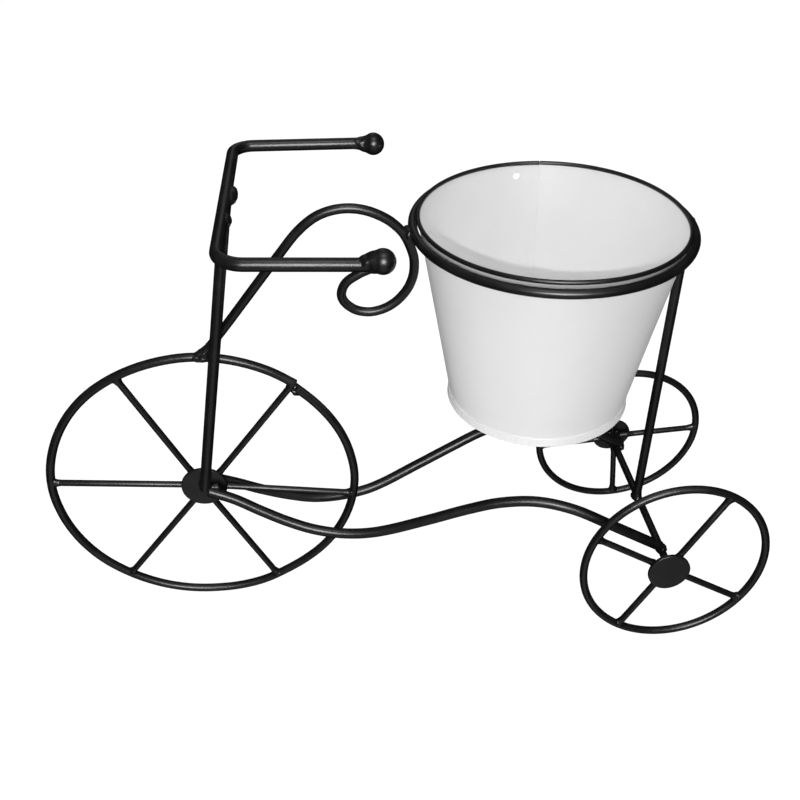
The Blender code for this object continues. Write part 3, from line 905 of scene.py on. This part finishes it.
skirt = {"top": 0.2029, "topRadius": 0.0700, "bottom": 0.1969, "bottomRadius": 0.0706,
         "sheet": 0.001, "crimp": 0.00022, "crimps": 92, "crimpStart": 0.1, "patches": 7,
         "evenShare": 0.6, "unevenShare": 0.9, "wander": 3.6, "wanderPatches": 0.6,
         "wanderPlace": (4, 0, 0),
         "lap": ((0.0693, 0.0008), (0.0697, 0.0007), (0.0699, 0.0005))}


# the crimps vary in depth and wander a little, and die away at the skirt's foot
def crimpDrift(angle, height):
    down = (skirt["top"] - height) / (skirt["top"] - skirt["bottom"])
    place = Vector((math.cos(angle), math.sin(angle), 0)) * skirt["patches"]
    uneven = skirt["evenShare"] + skirt["unevenShare"] * noise.noise(place)
    elsewhere = place * skirt["wanderPatches"] + Vector(skirt["wanderPlace"])
    fold = math.sin(skirt["crimps"] * angle + skirt["wander"] * noise.noise(elsewhere))
    into = down * (1 - skirt["crimpStart"]) + skirt["crimpStart"]
    return skirt["crimp"] * uneven * fold * math.sin(math.pi * max(0, min(1, into)))


outline = [(radius, skirt["top"] + rise) for radius, rise in skirt["lap"]]
for k in range(fineness["skirt"] + 1):
    share = k / fineness["skirt"]
    outline.append((skirt["topRadius"] + (skirt["bottomRadius"] - skirt["topRadius"]) * share,
                    skirt["top"] - (skirt["top"] - skirt["bottom"]) * share))
outline += [(radius - skirt["sheet"], height) for radius, height in outline[::-1]]
bm = bmesh.new()
turned(bm, outline, evenColumns(skirt["crimps"] * fineness["crimp"]), True, crimpDrift)
moved(bm, potPlace)
addPiece("potFootSkirt", bm, whitePaint, "pot", "pot_foot_skirt")
print("pot built")


room = {"size": 16.0, "floorDrop": 0.0002, "domeRadius": 7.5, "colour": (0.10, 0.10, 0.10, 1),
        "glow": 0.97, "ambient": 0.02, "aimHeight": 0.27}
paper = Finish("studioPaper", {"Base Color": room["colour"], "Roughness": 0.9,
                               "Specular IOR Level": 0.1, "Emission Color": (1, 1, 1, 1),
                               "Emission Strength": room["glow"]})


# White paper that shows as the background and leaves the light on the stand to the lamps
def addPaper(name, bm, height):
    mesh = bpy.data.meshes.new(name)
    bm.to_mesh(mesh)
    bm.free()
    mesh.materials.append(paper.material)
    sheet = bpy.data.objects.new(name, mesh)
    sheet.location.z = height
    sheet.visible_diffuse = False
    sheet.visible_glossy = False
    sheet.visible_shadow = False
    bpy.context.scene.collection.objects.link(sheet)


bm = bmesh.new()
bmesh.ops.create_grid(bm, x_segments=2, y_segments=2, size=room["size"] / 2)
addPaper("studioFloor", bm, -room["floorDrop"])
bm = bmesh.new()
bmesh.ops.create_uvsphere(bm, u_segments=48, v_segments=24, radius=room["domeRadius"])
addPaper("studioDome", bm, 0)

world = bpy.data.worlds.new("studioWorld")
bpy.context.scene.world = world
world.use_nodes = True
world.node_tree.nodes["Background"].inputs["Color"].default_value = (1, 1, 1, 1)
world.node_tree.nodes["Background"].inputs["Strength"].default_value = room["ambient"]
world.cycles_visibility.glossy = False

# soft lamps shade the pot; the glossy ones only draw the bright lines on the black paint
lamps = {
    "window": {"azimuth": -108, "elevation": 27, "distance": 2.6, "size": 0.05, "power": 22.6,
               "glossy": False},
    "top": {"azimuth": -90, "elevation": 84, "distance": 2.0, "size": 1.6, "power": 32.6,
            "glossy": False},
    "side": {"azimuth": -160, "elevation": 12, "distance": 2.2, "size": 1.6, "power": 19.2,
             "glossy": False},
    "right": {"azimuth": -25, "elevation": 12, "distance": 2.2, "size": 1.6, "power": 12.5,
              "glossy": False},
    "low": {"azimuth": -95, "elevation": -25, "distance": 2.2, "size": 1.6, "power": 27.2,
            "glossy": False},
    "rear": {"azimuth": 90, "elevation": 45, "distance": 2.2, "size": 1.6, "power": 16.6,
             "glossy": False},
    "gleam": {"azimuth": -93, "elevation": 25, "distance": 1.55, "size": 0.80, "power": 30.0,
              "glossy": True},
    "halo": {"azimuth": -90, "elevation": 74, "distance": 1.6, "size": 0.66, "power": 4.0,
             "glossy": True},
    "sky": {"azimuth": -90, "elevation": 88, "distance": 2.0, "size": 2.6, "power": 3.2,
            "glossy": True},
    "back": {"azimuth": 92, "elevation": 36, "distance": 2.2, "size": 1.0, "power": 1.2,
             "glossy": True},
    "table": {"azimuth": -95, "elevation": -40, "distance": 2.2, "size": 2.4, "power": 4.5,
              "glossy": True},
}
potMiddle = Vector((ring["x"], 0, room["aimHeight"]))
for name, lamp in lamps.items():
    light = bpy.data.lights.new(name, "AREA")
    light.shape = "DISK"
    light.size = lamp["size"]
    light.energy = lamp["power"]
    holder = bpy.data.objects.new(name, light)
    azimuth, elevation = math.radians(lamp["azimuth"]), math.radians(lamp["elevation"])
    away = Vector((math.cos(azimuth) * math.cos(elevation),
                   math.sin(azimuth) * math.cos(elevation), math.sin(elevation)))
    holder.location = potMiddle + away * lamp["distance"]
    holder.rotation_euler = away.to_track_quat("Z", "Y").to_euler()
    holder.visible_diffuse = not lamp["glossy"]
    holder.visible_glossy = lamp["glossy"]
    bpy.context.scene.collection.objects.link(holder)

shot = {"place": (-0.0614957, -0.6114730, 0.6442491), "yaw": 0.094705, "pitch": 0.629928,
        "roll": -0.005026, "focalPixels": 963.402, "picture": 800}
yaw, pitch, roll = shot["yaw"], shot["pitch"], shot["roll"]
ahead = Vector((math.sin(yaw) * math.cos(pitch), math.cos(yaw) * math.cos(pitch),
                -math.sin(pitch)))
level = Vector((math.cos(yaw), -math.sin(yaw), 0))
above = level.cross(ahead)
rightWay = level * math.cos(roll) + above * math.sin(roll)
upWay = above * math.cos(roll) - level * math.sin(roll)
lens = bpy.data.cameras.new("shot")
lens.sensor_width = 36
lens.lens = shot["focalPixels"] * lens.sensor_width / shot["picture"]
lens.clip_start = 0.01
camera = bpy.data.objects.new("shot", lens)
camera.matrix_world = (Matrix.Translation(shot["place"])
                       @ Matrix((rightWay, upWay, -ahead)).transposed().to_4x4())
bpy.context.scene.collection.objects.link(camera)
bpy.context.scene.camera = camera
bpy.context.scene.view_settings.view_transform = "Standard"
print("studio set")

bpy.context.view_layer.update()
